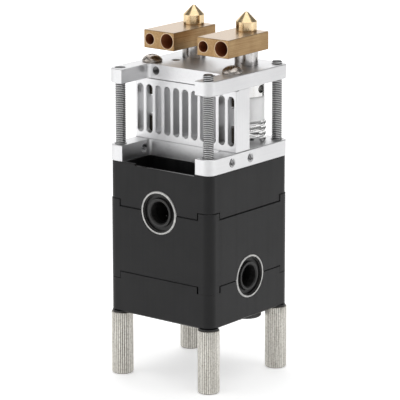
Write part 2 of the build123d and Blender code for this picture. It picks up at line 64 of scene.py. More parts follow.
# ---- sizes and places on the part, in millimetres -----------------------------------------------
LIP_Y = -16.2                   # in front of this is the cable well's thin front wall
BEARINGS = (("lower", "x", 29.5), ("upper", "y", 47.7))     # name, direction and height of the axis
BAY_WIDTH = 25.0                # fan bay between the plates' ears
BAY_REAR_Y = -6.0
BAY_MARGIN = 0.1

KNOB_R = 3.0
KNOB_TOP = 17.6
KNOB_LEVELS = (                 # height, and how far the edge is broken there
    (0.0, 0.50), (0.08, 0.26), (0.24, 0.10), (0.45, 0.02), (0.62, 0.0), (5.0, 0.0), (11.0, 0.0),
    (KNOB_TOP - 0.3, 0.0), (KNOB_TOP - 0.18, 0.06), (KNOB_TOP - 0.08, 0.16), (KNOB_TOP, 0.30),
)
KNURL_TEETH = 32
KNURL_DEPTH = 0.2
KNURL_PROFILE = (               # share of a tooth, and share of the depth there
    (-0.16, 0.0), (0.16, 0.0), (0.42, 0.75), (0.5, 1.0), (0.58, 0.75),
)
KNURL_SHALLOWEST = 0.82         # share of the depth that the shallowest groove has
CREST_LOSS = 0.05               # height that a crest loses at most
CREST_LEAN = 0.05               # and how far it leans at most, as a share of a tooth
CREST_EDGE = 0.01               # a crest is bright down to this depth

THREAD_PITCH = 0.5
THREAD_STEPS = 28
THREAD_OVERRUN = 1.5            # turns made past each end, before the ends are cut
THREAD_PROFILE = ((0.0, 0.0), (0.22, 0.0), (0.5, 1.0), (0.7, 1.0))      # shares of pitch and depth
SHAFT_R = 1.45
SHAFT_DEPTH = 0.2
SHAFT_SUNK = 0.3                # how far the thread starts inside the knob
SHAFT_TIP = 0.3                 # broken edge of the tip

WIRE_R = 0.5
WIRE_SIDES = 14
COIL_R = 5.0
COIL_TURNS = 3.25
COIL_STEPS = 44
SPRING_LOW = 64.4
SPRING_HIGH = 70.2

BLOCK_SCREW_X = 13.7
BLOCK_SCREW_Y = -3.0
BLOCK_SCREW_R = 1.45
BLOCK_SCREW_DEPTH = 0.27
COUNTERSUNK_HEAD = 1.6          # height of a countersunk head
SHANK_OVERLAP = 0.1             # how far a shank reaches into its head
SHANK_MARGIN = 0.2              # the painted shade on the shanks fades out over this beyond the block

SIDE_HOLE_R = 1.25
SIDE_HOLE_Z = 62.2
SIDE_HOLE_FRONT_Y = -8.0        # this one goes through to the fan bay
SIDE_HOLE_REAR_Y = 0.0
SIDE_HOLE_THREAD = 6.4          # length of thread in the rear one
FAN_HOLE_R = 1.15
FAN_HOLE_X = 10.0
FAN_HOLE_Z = 83.5
FAN_HOLE_THREAD = 4.8
TOP_HOLE_R = 1.25
TOP_HOLE_X = 9.7
TOP_HOLE_Y = 2.3
TOP_HOLE_THREAD = 3.5
TAPPED_INSET = 0.2              # a hole's thread starts this far inside its mouth
TAPPED_DEPTH = 0.22
TAPPED_WALL = 0.02              # thickness of the thread's liner behind the ridges

HEATER_HOLES = ((-2.9, 1.5), (3.05, 2.05))      # place across the block from the nozzle's axis, radius
HEATER_HOLE_Z = 91.95
HEATER_FRONT = -15.45           # front face of a heater block, and end of its holes, from the nozzle's axis
HEATER_HOLE_END = -3.9
HEATER_TURN = {"left": 0.0, "right": 1.3}       # degrees from straight
HOLE_STAIN_EDGE = (0.04, 0.02)  # the stain in a hole begins and is full this far outside its edge
HOLE_HIGHLIGHT_EDGE = (0.20, 0.14)    # and so is the painted highlight, a bright rim round it
FRONT_MARGIN = 0.1
COLLAR_TOP = 81.28              # where the coupler's collar ends and its stem begins
STEM_FADE = 0.2


# ---- camera -------------------------------------------------------------------------------------
AZIMUTH = math.radians(38.35)   # from the front, towards the right
ELEVATION = math.radians(13.01)
ROLL = math.radians(-0.11)
DISTANCE = 0.717
AIM = Vector((0.0, 0.0, 0.058))  # in metres, as is the distance
SENSOR = 36.0                   # in millimetres, as are the next two
LENS = 237.96
AIM_ON_SENSOR = (-0.081, 3.24)  # where the aim point falls, right and up from the picture's centre
CLIP_END = 50                   # in metres


def add_camera():
    away = Vector((
        math.sin(AZIMUTH) * math.cos(ELEVATION),
        -math.cos(AZIMUTH) * math.cos(ELEVATION),
        math.sin(ELEVATION),
    ))
    right = Vector((math.cos(AZIMUTH), math.sin(AZIMUTH), 0))
    up = away.cross(right)
    off_right, off_up = (value / LENS for value in AIM_ON_SENSOR)
    back = (away + off_right * right + off_up * up).normalized()
    right = up.cross(back).normalized()
    up = back.cross(right)
    rotation = Matrix((right, up, back)).transposed() @ Matrix.Rotation(ROLL, 3, "Z")
    data = bpy.data.cameras.new("camera")
    data.sensor_width = SENSOR
    data.lens = LENS
    data.clip_end = CLIP_END
    camera = bpy.data.objects.new("camera", data)
    camera.matrix_world = Matrix.Translation(AIM + DISTANCE * away) @ rotation.to_4x4()
    scene.collection.objects.link(camera)
    scene.camera = camera


# ---- node trees ---------------------------------------------------------------------------------
class Tree:
    """A material's node tree, with short calls for the nodes used here."""

    def __init__(self, name):
        self.material = bpy.data.materials.new(name)
        self.material.use_nodes = True
        self.tree = self.material.node_tree
        self.shader = self.tree.nodes["Principled BSDF"]
        coordinates = self.tree.nodes.new("ShaderNodeTexCoord")
        self.place = coordinates.outputs["Object"]
        self.facing = coordinates.outputs["Normal"]

    def feed(self, socket, value):
        """Links a socket to another one, or sets its value."""
        if isinstance(value, bpy.types.NodeSocket):
            self.tree.links.new(value, socket)
        else:
            socket.default_value = value

    def set(self, **inputs):
        """Feeds the shader's inputs, named with underscores for spaces."""
        for key, value in inputs.items():
            self.feed(self.shader.inputs[key.replace("_", " ")], value)

    def node(self, kind, inputs=(), **settings):
        made = self.tree.nodes.new(kind)
        for key, value in settings.items():
            setattr(made, key, value)
        for key, value in dict(inputs).items():
            self.feed(made.inputs[key], value)
        return made

    def about(self, centre=(0, 0, 0), scale=(1, 1, 1), turn=(0, 0, 0)):
        """Coordinates from a centre in millimetres, then turned and scaled."""
        moved = self.node("ShaderNodeVectorMath", {
            0: self.place, 1: tuple(-value * MM for value in centre)}, operation="ADD")
        mapped = self.node("ShaderNodeMapping", {
            "Vector": moved.outputs[0], "Rotation": turn, "Scale": scale})
        return mapped.outputs[0]

    def noise(self, per_m, detail, rough, vector=None):
        made = self.node("ShaderNodeTexNoise", {
            "Vector": vector or self.place, "Scale": per_m, "Detail": detail, "Roughness": rough})
        return made.outputs["Fac"]

    def cells(self, per_m):
        made = self.node("ShaderNodeTexVoronoi", {"Vector": self.place, "Scale": per_m})
        return made.outputs["Distance"]

    def span(self, value, low, high, out_low=0.0, out_high=1.0):
        """Maps low to high onto out_low to out_high, held at both ends."""
        made = self.node("ShaderNodeMapRange", {
            "Value": value, "From Min": low, "From Max": high,
            "To Min": out_low, "To Max": out_high})
        return made.outputs["Result"]

    def math(self, operation, first, second=0.0):
        return self.node("ShaderNodeMath", {0: first, 1: second}, operation=operation).outputs[0]

    def weigh(self, first, share, second):
        """A share of the first value, and the rest of the second."""
        rest = self.math("MULTIPLY", second, 1 - share)
        return self.math("ADD", self.math("MULTIPLY", first, share), rest)

    def blend(self, factor, first, second):
        """Mixes two colours, each one a socket or three numbers."""
        made = self.node("ShaderNodeMix", {"Factor": factor}, data_type="RGBA")
        for place, value in ((6, first), (7, second)):
            colour = value if isinstance(value, bpy.types.NodeSocket) else (*value, 1.0)
            self.feed(made.inputs[place], colour)
        return made.outputs[2]

    def bump(self, *layers):
        """Stacked bumps, each (height, strength, distance in millimetres)."""
        normal = None
        for height, strength, distance in layers:
            made = self.node("ShaderNodeBump", {
                "Height": height, "Strength": strength, "Distance": distance * MM})
            if normal is not None:
                self.tree.links.new(normal, made.inputs["Normal"])
            normal = made.outputs["Normal"]
        self.set(Normal=normal)

    def axes(self, vector=None):
        return self.node("ShaderNodeSeparateXYZ", {0: vector or self.place}).outputs

    def length(self, x, y):
        flat = self.node("ShaderNodeCombineXYZ", {0: x, 1: y})
        return self.node("ShaderNodeVectorMath", {0: flat.outputs[0]}, operation="LENGTH").outputs[1]

    def radius(self, vector):
        """Distance from the Z axis of the coordinates given."""
        x, y, _ = self.axes(vector)
        return self.length(x, y)

    def on_top(self):
        """One on faces that look up, and nothing on walls."""
        return self.span(self.axes(self.facing)[2], 0.85, 0.95)


# ---- materials ----------------------------------------------------------------------------------
# Noise and rings are counted per metre. A bump's distance is in millimetres.
ALONG_Y = (1400, 60, 1400)      # tool lines that run along Y
ALONG_Z = (1400, 1400, 60)


def housing_plastic():
    """Satin black moulded plastic: a fine spark-eroded grain with faint draw marks up the walls, and a
    painted highlight, lighter and glossier, on the top of the cable well's thin front wall.
    """
    m = Tree("housing_plastic")
    grain = m.noise(5200, 4, 0.6)
    drawn = m.noise(1, 3, 0.55, m.about(scale=(620, 620, 12)))
    cloud = m.noise(120, 3, 0.5)
    tone = m.span(m.weigh(drawn, 0.6, cloud), 0.35, 0.65)
    _, y, _ = m.axes()
    # painted highlight: the top face of the cable well's thin front wall is made lighter and glossier
    lip_highlight = m.math("MULTIPLY", m.math("LESS_THAN", y, LIP_Y * MM), m.on_top())
    plastic = m.blend(tone, (0.0042, 0.0042, 0.0048), (0.0105, 0.0103, 0.0110))
    satin = m.span(m.weigh(grain, 0.2, drawn), 0.35, 0.65, 0.31, 0.50)
    m.set(Base_Color=m.blend(lip_highlight, plastic, (0.035, 0.035, 0.035)))
    m.set(Roughness=m.span(lip_highlight, 0, 1, satin, 0.14), IOR=1.35)
    m.bump((drawn, 0.09, 0.02), (grain, 0.14, 0.012))
    return m.material


def dark_moulding(name, tone, rough):
    """Black moulded plastic with a fine grain, a little cloudy."""
    m = Tree(name)
    grain = m.noise(7000, 3, 0.6)
    cloud = m.noise(400, 2, 0.5)
    light = (tone * 1.7, tone * 1.65, tone * 1.6)
    m.set(Base_Color=m.blend(m.span(cloud, 0.3, 0.7), (tone, tone, tone), light))
    m.set(Roughness=m.span(grain, 0.3, 0.7, rough - 0.06, rough + 0.08))
    m.bump((grain, 0.2, 0.01))
    return m.material


def seal_rubber():
    """Black rubber with a pale bloom."""
    m = Tree("seal_rubber")
    bloom = m.noise(900, 4, 0.65)
    grain = m.cells(9000)
    m.set(Base_Color=m.blend(m.span(bloom, 0.35, 0.7), (0.008, 0.008, 0.008), (0.022, 0.021, 0.020)))
    m.set(Roughness=m.span(bloom, 0.3, 0.7, 0.42, 0.6))
    m.bump((grain, 0.18, 0.01), (bloom, 0.2, 0.03))
    return m.material


def aluminium(name, bright, rough, lines=ALONG_Y, bay_rough=None):
    """Machined aluminium with faint tool lines. The fan bay can have a roughness of its own."""
    m = Tree(name)
    grain = m.noise(6500, 4, 0.6)
    tool = m.noise(1, 5, 0.6, m.about(scale=lines))
    cloud = m.noise(95, 4, 0.5)
    fleck = m.cells(2600)
    tone = m.span(m.weigh(tool, 0.5, cloud), 0.35, 0.65)
    dull = tuple(bright * part for part in (0.93, 0.93, 0.94))
    light = tuple(bright * part for part in (1.03, 1.03, 1.04))
    m.set(Base_Color=m.blend(tone, dull, light), Metallic=1.0)
    roughness = m.span(m.weigh(grain, 0.5, tool), 0.35, 0.65, rough - 0.05, rough + 0.06)
    if bay_rough is not None:
        x, y, _ = m.axes()
        inside_x = m.math("LESS_THAN", m.math("ABSOLUTE", x), (BAY_WIDTH / 2 + BAY_MARGIN) * MM)
        inside_y = m.math("LESS_THAN", y, (BAY_REAR_Y + BAY_MARGIN) * MM)
        bay = m.math("MULTIPLY", inside_x, inside_y)
        bay_finish = m.span(tool, 0.3, 0.7, bay_rough - 0.04, bay_rough + 0.05)
        roughness = m.span(bay, 0, 1, roughness, bay_finish)
    m.set(Roughness=roughness)
    m.bump((cloud, 0.02, 0.1), (tool, 0.08, 0.01), (fleck, 0.02, 0.008), (grain, 0.06, 0.006))
    return m.material


def turned_metal(name, light, dark, rough, centre, ring_per_m=9000, axis="z"):
    """Lathe-turned metal: fine rings about an axis, with slow stains between them."""
    m = Tree(name)
    turn = {"z": (0, 0, 0), "x": (0, math.pi / 2, 0), "y": (math.pi / 2, 0, 0)}[axis]
    local = m.about(centre, turn=turn)
    _, _, along = m.axes(local)
    ring_place = m.node("ShaderNodeCombineXYZ", {0: along, 1: m.radius(local)}).outputs[0]
    rings = m.noise(ring_per_m, 3, 0.65, ring_place)
    wide = m.noise(ring_per_m / 9, 2, 0.5, ring_place)
    stain = m.noise(700, 4, 0.6)
    tone = m.span(m.weigh(rings, 0.45, stain), 0.36, 0.64)
    m.set(Base_Color=m.blend(tone, dark, light), Metallic=1.0)
    m.set(Roughness=m.span(m.weigh(rings, 0.5, stain), 0.35, 0.65, rough - 0.05, rough + 0.07))
    m.bump((wide, 0.072, 0.02), (rings, 0.12, 0.01))
    return m.material


def coupler_steel(name, centre):
    """Turned stainless steel: a bright collar, and a stem painted darker, with dark brownish streaks along
    it that are painted reflections.
    """
    m = Tree(name)
    _, _, height = m.axes(m.about(centre))
    rings = m.noise(1, 3, 0.6, m.about(centre, scale=(60, 60, 8000)))
    reflection_streak = m.noise(1, 2, 0.5, m.about(centre, scale=(430, 430, 5)))
    stain = m.noise(700, 4, 0.6)
    tone = m.span(m.weigh(reflection_streak, 0.75, stain), 0.38, 0.62)
    # painted reflection: the stem is darker, with dark brownish streaks along it
    stem = m.blend(tone, (0.20, 0.185, 0.17), (0.66, 0.64, 0.63))
    collar = m.blend(tone, (0.64, 0.63, 0.62), (0.84, 0.84, 0.83))
    on_stem = m.span(height, COLLAR_TOP * MM, (COLLAR_TOP + STEM_FADE) * MM)
    m.set(Base_Color=m.blend(on_stem, collar, stem), Metallic=1.0)
    m.set(Roughness=m.span(m.weigh(rings, 0.5, stain), 0.35, 0.65, 0.12, 0.22))
    m.bump((rings, 0.08, 0.01))
    return m.material


def heater_brass(name, centre, turn):
    """Ground brass with fine lengthwise lines, brown inside its holes, with a bright painted highlight
    round them, and painted light that makes the faces that look up lighter.
    """
    m = Tree(name)
    local = m.about(centre, turn=(0, 0, math.radians(-turn)))
    stretch = m.node("ShaderNodeMapping", {"Vector": local, "Scale": (2600, 90, 2600)}).outputs[0]
    lines = m.noise(1, 4, 0.6, stretch)
    grain = m.noise(7000, 3, 0.6)
    heat = m.noise(160, 4, 0.6)
    x, y, z = m.axes(local)
    bore = rim = 0.0
    for across, radius in HEATER_HOLES:
        out = m.length(m.math("SUBTRACT", x, across * MM), m.math("SUBTRACT", z, HEATER_HOLE_Z * MM))
        inside = m.span(out, *((radius + edge) * MM for edge in HOLE_STAIN_EDGE))
        near = m.span(out, *((radius + edge) * MM for edge in HOLE_HIGHLIGHT_EDGE))
        bore = m.math("MAXIMUM", bore, inside)
        rim = m.math("MAXIMUM", rim, near)
    bore = m.math("MULTIPLY", bore, m.math("LESS_THAN", y, HEATER_HOLE_END * MM))
    rim = m.math("MULTIPLY", rim, m.math("LESS_THAN", y, (HEATER_FRONT + FRONT_MARGIN) * MM))
    tone = m.span(m.weigh(lines, 0.5, heat), 0.36, 0.64)
    brass = m.blend(tone, (0.285, 0.170, 0.078), (0.46, 0.312, 0.158))
    # painted light: faces that look up are made lighter
    brass = m.blend(m.on_top(), brass, (0.63, 0.50, 0.375))
    # painted highlight: a bright rim round each hole on the front face
    brass = m.blend(m.math("MULTIPLY", rim, 0.5), brass, (0.80, 0.70, 0.54))
    m.set(Base_Color=m.blend(bore, brass, (0.36, 0.13, 0.05)))
    m.set(Metallic=m.span(bore, 0, 1, 1.0, 0.25))
    ground = m.span(m.weigh(lines, 0.5, grain), 0.35, 0.65, 0.26, 0.36)
    m.set(Roughness=m.span(bore, 0, 1, ground, 0.6))
    m.bump((heat, 0.03, 0.08), (lines, 0.16, 0.012), (grain, 0.05, 0.008))
    return m.material


def white_liner():
    """Turned white fluoropolymer: slightly waxy, with the lathe's rings."""
    m = Tree("liner_white")
    rings = m.noise(1, 3, 0.6, m.about(scale=(60, 60, 7000)))
    cloud = m.noise(600, 3, 0.5)
    m.set(Base_Color=m.blend(m.span(cloud, 0.3, 0.7), (0.97, 0.97, 0.965), (0.995, 0.995, 0.99)))
    m.set(Roughness=m.span(rings, 0.3, 0.7, 0.30, 0.42))
    m.set(Subsurface_Weight=0.6, Subsurface_Radius=(2.5 * MM,) * 3, Subsurface_Scale=1.0)
    m.bump((rings, 0.15, 0.02))
    return m.material


def wire_steel():
    """Bright drawn steel, for the springs and the bearings' balls."""
    m = Tree("spring_steel")
    drawn = m.noise(2200, 3, 0.6)
    tone = m.span(drawn, 0.35, 0.65)
    m.set(Base_Color=m.blend(tone, (0.80, 0.80, 0.79), (0.93, 0.93, 0.93)), Metallic=1.0)
    m.set(Roughness=m.span(drawn, 0.3, 0.7, 0.10, 0.2))
    m.bump((drawn, 0.06, 0.01))
    return m.material


def nickel_knob(name, centre):
    """Nickel-plated knurl, bright on the crests, with painted shade in the grooves, and grime mostly off
    the crests.
    """
    m = Tree(name)
    crest = m.span(m.radius(m.about(centre)), (KNOB_R - KNURL_DEPTH) * MM, (KNOB_R - CREST_EDGE) * MM)
    plating = m.noise(1, 4, 0.7, m.about(centre, scale=(1500, 1500, 170)))
    spots = m.noise(1900, 5, 0.7)
    grime = m.math("MULTIPLY", m.span(spots, 0.47, 0.62), m.span(crest, 0, 1, 1.0, 0.25))
    clean = m.blend(m.span(plating, 0.35, 0.65), (0.68, 0.66, 0.60), (0.97, 0.95, 0.89))
    # painted shade: the grooves are dark
    knurl = m.blend(crest, (0.17, 0.155, 0.14), clean)
    m.set(Base_Color=m.blend(grime, knurl, (0.20, 0.18, 0.155)), Metallic=1.0)
    m.set(Roughness=m.span(plating, 0.3, 0.7, 0.24, 0.40))
    m.bump((spots, 0.12, 0.03), (plating, 0.14, 0.015))
    return m.material


def nickel_thread(name, centre):
    """A thumb screw's thread: bright crests, and roots painted dark as painted shade."""
    m = Tree(name)
    crest = m.span(m.radius(m.about(centre)), (SHAFT_R - SHAFT_DEPTH) * MM, SHAFT_R * MM)
    spots = m.noise(2600, 4, 0.65)
    clean = m.blend(m.span(spots, 0.35, 0.65), (0.66, 0.66, 0.66), (0.80, 0.80, 0.80))
    # painted shade: the thread's roots are dark
    m.set(Base_Color=m.blend(crest, (0.09, 0.09, 0.09), clean), Metallic=1.0)
    m.set(Roughness=m.span(spots, 0.3, 0.7, 0.28, 0.40))
    m.bump((spots, 0.12, 0.02))
    return m.material


def screw_steel():
    """Steel of the block screws, with a brown smear, and painted shade where they cross the block."""
    m = Tree("screw_steel")
    smear = m.noise(900, 4, 0.6)
    grain = m.noise(5000, 3, 0.6)
    low, high = (corner[2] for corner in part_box("cooling_block"))
    _, _, height = m.axes()
    above = m.span(height, high + SHANK_MARGIN * MM, high)
    below = m.span(height, low - SHANK_MARGIN * MM, low)
    bright = m.blend(m.span(smear, 0.35, 0.65), (0.36, 0.31, 0.27), (0.60, 0.56, 0.52))
    # painted shade: the shanks are dark where they pass through the cooling block
    painted_block_shade = m.math("MULTIPLY", above, below)
    m.set(Base_Color=m.blend(painted_block_shade, bright, (0.07, 0.06, 0.05)), Metallic=1.0)
    m.set(Roughness=m.span(grain, 0.3, 0.7, 0.20, 0.32))
    m.bump((smear, 0.05, 0.03), (grain, 0.04, 0.01))
    return m.material


# ---- mesh making --------------------------------------------------------------------------------
SHARP_ANGLE = 38                # edges sharper than this stay sharp, in degrees
CUT_SNAP = 1e-9                 # vertices this close to a cut count as on it, in metres
WELD_GAP = 1e-7                 # vertices this close to each other become one, in metres


def piece_from(name, made_mesh, materials, body, slot, *replaced):
    """An object from a bmesh, with its materials, body and the nodes that it stands for; the slot is not
    used.
    """
    mesh = bpy.data.meshes.new(name)
    bmesh.ops.recalc_face_normals(made_mesh, faces=made_mesh.faces)
    made_mesh.to_mesh(mesh)
    made_mesh.free()
    for material in materials:
        mesh.materials.append(material)
    made = bpy.data.objects.new(name, mesh)
    scene.collection.objects.link(made)
    mesh.shade_smooth()
    mesh.set_sharp_from_angle(angle=math.radians(SHARP_ANGLE))
    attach(made, body)
    if replaced:
        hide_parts(*replaced)
    return made


def merge(made, other):
    """Moves everything from the other bmesh into this one."""
    spare = bpy.data.meshes.new("spare")
    other.to_mesh(spare)
    other.free()
    made.from_mesh(spare)
    bpy.data.meshes.remove(spare)


def loft(made, rings):
    """Joins rings of points, given as lists of (x, y, z) in metres, into a closed skin."""
    rows = [[made.verts.new(point) for point in ring] for ring in rings]
    for low, high in zip(rows, rows[1:]):
        count = len(low)
        for i in range(count):
            j = (i + 1) % count
            made.faces.new((low[i], low[j], high[j], high[i]))
    made.faces.new(list(reversed(rows[0])))
    made.faces.new(rows[-1])


def cut_open(made, z, keep_above, snap=0.0):
    """Cuts away what lies on one side of a level, and returns what lies on the cut."""
    everything = made.verts[:] + made.edges[:] + made.faces[:]
    result = bmesh.ops.bisect_plane(
        made, geom=everything, plane_co=(0, 0, z), plane_no=(0, 0, 1), dist=snap,
        clear_inner=keep_above, clear_outer=not keep_above)
    return result["geom_cut"]


def cut_flat(made, z, keep_above):
    """Cuts away what lies on one side of a level, and closes the cut."""
    cut = cut_open(made, z, keep_above, CUT_SNAP)
    rim = [item for item in cut if isinstance(item, bmesh.types.BMEdge)]
    bmesh.ops.holes_fill(made, edges=rim, sides=0)


def set_radius(vertex, radius):
    """Moves a vertex straight out or in, to a distance from the Z axis."""
    share = radius / math.hypot(vertex.co.x, vertex.co.y)
    vertex.co.x *= share
    vertex.co.y *= share


def add_thread(made, low, high, major, depth):
    """A right-hand thread about Z, open and over-long at both ends. Sizes in metres."""
    pitch = THREAD_PITCH * MM
    marks = len(THREAD_PROFILE)
    turns = int(math.ceil((high - low) / pitch) + 2 * THREAD_OVERRUN)
    start = low - THREAD_OVERRUN * pitch
    columns = []
    for step in range(THREAD_STEPS):
        angle = TAU * step / THREAD_STEPS
        column = []
        for k in range(turns * marks):
            share, down = THREAD_PROFILE[k % marks]
            z = start + (k // marks + share + step / THREAD_STEPS) * pitch
            radius = major - down * depth
            column.append(made.verts.new((radius * math.cos(angle), radius * math.sin(angle), z)))
        columns.append(column)
    for step, near in enumerate(columns):
        wrap = step + 1 == THREAD_STEPS
        far = columns[0][marks:] if wrap else columns[step + 1]
        for k in range(min(len(near), len(far)) - 1):
            made.faces.new((near[k], far[k], far[k + 1], near[k + 1]))


def closed_thread(low, high, major, depth):
    """A solid threaded rod about Z with flat ends. Sizes in metres."""
    made = bmesh.new()
    add_thread(made, low, high, major, depth)
    cut_flat(made, low, keep_above=True)
    cut_flat(made, high, keep_above=False)
    return made


def middle(name):
    """Centre of a node's box in plan, in metres."""
    low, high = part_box(name)
    return ((low[0] + high[0]) / 2, (low[1] + high[1]) / 2)


# ---- thumb screws -------------------------------------------------------------------------------
def knob_mesh(seed):
    """The knurled knob: V grooves whose crests are flattened a little unevenly, as plating leaves them."""
    draw = random.Random(seed)
    depth = [KNURL_DEPTH * draw.uniform(KNURL_SHALLOWEST, 1.0) for _ in range(KNURL_TEETH)]
    loss = [draw.uniform(0.0, CREST_LOSS) for _ in range(KNURL_TEETH)]
    lean = [draw.uniform(-CREST_LEAN, CREST_LEAN) for _ in range(KNURL_TEETH)]
    made = bmesh.new()
    rings = []
    for z, broken in KNOB_LEVELS:
        ring = []
        for k in range(KNURL_TEETH):
            for share, down in KNURL_PROFILE:
                angle = TAU * (k + share + lean[k] * (1 - down)) / KNURL_TEETH
                radius = KNOB_R - loss[k] * (1 - down) - down * depth[k]
                radius = min(radius, KNOB_R - broken)
                ring.append((radius * math.cos(angle) * MM, radius * math.sin(angle) * MM, z * MM))
        rings.append(ring)
    loft(made, rings)
    return made


def shaft_mesh(top):
    """The threaded shaft, from inside the knob to a tip with a broken edge. Top in metres."""
    made = closed_thread((KNOB_TOP - SHAFT_SUNK) * MM, top, SHAFT_R * MM, SHAFT_DEPTH * MM)
    for vertex in made.verts:
        from_tip = top - vertex.co.z
        limit = (SHAFT_R - SHAFT_TIP) * MM + from_tip
        if from_tip < SHAFT_TIP * MM and math.hypot(vertex.co.x, vertex.co.y) > limit:
            set_radius(vertex, limit)
    return made


def add_thumb_screws():
    for seed, corner in enumerate(CORNERS):
        name = f"thumb_screw_{corner}"
        x, y = middle(name)
        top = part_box(name)[1][2]
        made = knob_mesh(seed)
        knob_faces = len(made.faces)
        merge(made, shaft_mesh(top))
        made.faces.ensure_lookup_table()
        for face in made.faces[knob_faces:]:
            face.material_index = 1
        bmesh.ops.translate(made, verts=made.verts, vec=(x, y, 0))
        centre = (x / MM, y / MM, 0)
        knob = nickel_knob(f"knob_nickel_{corner}", centre)
        thread = nickel_thread(f"shaft_nickel_{corner}", centre)
        piece_from(f"{name}_detailed", made, [knob, thread], f"screw_{corner}", "thumb_nickel", name)


# ---- coupler springs ----------------------------------------------------------------------------
def spring_mesh(x, y):
    """A coil of round wire about a place in metres, ground flat at both ends."""
    rise = SPRING_HIGH - SPRING_LOW - 2 * WIRE_R
    slope = rise / (COIL_TURNS * TAU)
    count = int(COIL_TURNS * COIL_STEPS)
    made = bmesh.new()
    rings = []
    for step in range(count + 1):
        share = step / count
        angle = TAU * COIL_TURNS * share
        outward = Vector((math.cos(angle), math.sin(angle), 0))
        tangent = Vector((-COIL_R * math.sin(angle), COIL_R * math.cos(angle), slope)).normalized()
        upward = outward.cross(tangent).normalized()
        centre = outward * COIL_R + Vector((0, 0, SPRING_LOW + WIRE_R + rise * share))
        ring = []
        for k in range(WIRE_SIDES):
            turn = TAU * k / WIRE_SIDES
            point = centre + WIRE_R * (math.cos(turn) * outward + math.sin(turn) * upward)
            point.z = min(max(point.z, SPRING_LOW), SPRING_HIGH)
            ring.append((x + point.x * MM, y + point.y * MM, point.z * MM))
        rings.append(ring)
    loft(made, rings)
    return made


def add_springs():
    steel = wire_steel()
    for side in SIDES:
        name = f"coupler_spring_{side}"
        x, y = middle(f"liner_coupler_{side}")
        piece = piece_from(f"{name}_wire", spring_mesh(x, y), [steel], "head", "spring_steel", name)
        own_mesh(piece)


# ---- block screws with real threads -------------------------------------------------------------
def thread_screws(node, neck, heads_above, material):
    """Replaces a screw node by a copy of its heads with threaded shanks. The neck is in metres."""
    low, high = (corner[2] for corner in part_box(node))
    if heads_above:
        high = neck + SHANK_OVERLAP * MM
    else:
        low = neck - SHANK_OVERLAP * MM
    made = bmesh.new()
    made.from_mesh(nodes[node].data)
    bmesh.ops.remove_doubles(made, verts=made.verts, dist=WELD_GAP)
    cut_flat(made, neck, heads_above)
    for side in SIDES.values():
        shank = closed_thread(low, high, BLOCK_SCREW_R * MM, BLOCK_SCREW_DEPTH * MM)
        place = (side * BLOCK_SCREW_X * MM, BLOCK_SCREW_Y * MM, 0)
        bmesh.ops.translate(shank, verts=shank.verts, vec=place)
        merge(made, shank)
    piece_from(f"{node}_threaded", made, [material], "head", "screw_steel", node)


def add_block_screws():
    steel = screw_steel()
    pan_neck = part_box("upper_plate")[1][2]
    countersunk_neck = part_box("countersunk_screws")[0][2] + COUNTERSUNK_HEAD * MM
    thread_screws("pan_screws", pan_neck, True, steel)
    thread_screws("countersunk_screws", countersunk_neck, False, steel)


# ---- tapped holes -------------------------------------------------------------------------------
def tapped_holes():
    """Each tapped hole's name, start of its thread, direction, radius and length of thread."""
    side_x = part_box("lower_plate")[1][0] / MM - TAPPED_INSET
    top_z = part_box("upper_plate")[1][2] / MM - TAPPED_INSET
    fan_y = BAY_REAR_Y + TAPPED_INSET
    through = side_x - BAY_WIDTH / 2 - TAPPED_INSET
    for side in SIDES.values():
        mark = side + 2
        inward = (-side, 0, 0)
        front = (side * side_x, SIDE_HOLE_FRONT_Y, SIDE_HOLE_Z)
        rear = (side * side_x, SIDE_HOLE_REAR_Y, SIDE_HOLE_Z)
        fan = (side * FAN_HOLE_X, fan_y, FAN_HOLE_Z)
        top = (side * TOP_HOLE_X, TOP_HOLE_Y, top_z)
        yield f"side_front_{mark}", front, inward, SIDE_HOLE_R, through
        yield f"side_rear_{mark}", rear, inward, SIDE_HOLE_R, SIDE_HOLE_THREAD
        yield f"fan_{mark}", fan, (0, 1, 0), FAN_HOLE_R, FAN_HOLE_THREAD
        yield f"top_{mark}", top, (0, 0, -1), TOP_HOLE_R, TOP_HOLE_THREAD


def tapped_mesh(radius, length):
    """A thin liner from zero up the Z axis, with ridges that point inwards. Sizes in metres."""
    depth, wall = TAPPED_DEPTH * MM, TAPPED_WALL * MM
    radius -= wall
    made = bmesh.new()
    add_thread(made, 0.0, length, radius, depth)
    for vertex in made.verts:
        set_radius(vertex, 2 * radius - depth - math.hypot(vertex.co.x, vertex.co.y))
    cut_open(made, 0.0, keep_above=True)
    cut_open(made, length, keep_above=False)
    rim = [edge for edge in made.edges if edge.is_boundary]
    grown = bmesh.ops.extrude_edge_only(made, edges=rim)
    for item in grown["geom"]:
        if isinstance(item, bmesh.types.BMVert):
            set_radius(item, radius + wall / 2)
    return made


def add_tapped_threads():
    """Thread ridges inside the plates' tapped holes, as thin liners. The fan holes' are darker, as painted
    shade.
    """
    cut = aluminium("tapped_aluminium", 0.78, 0.24)
    # painted shade: a darker copy of the aluminium for the fan holes
    shaded_metal = aluminium("tapped_shaded_aluminium", 0.18, 0.30)
    for name, start, inward, radius, length in tapped_holes():
        made = tapped_mesh(radius * MM, length * MM)
        turn = Vector((0, 0, 1)).rotation_difference(Vector(inward)).to_matrix().to_4x4()
        place = Matrix.Translation(Vector(start) * MM) @ turn
        bmesh.ops.transform(made, matrix=place, verts=made.verts)
        metal = shaded_metal if name.startswith("fan") else cut
        piece_from(f"tapped_thread_{name}", made, [metal], "head", "plate_aluminium")


# ---- carried-over nodes -------------------------------------------------------------------------
def dress(node, material):
    """Gives a carried-over node its material."""
    for slot in nodes[node].material_slots:
        slot.material = material


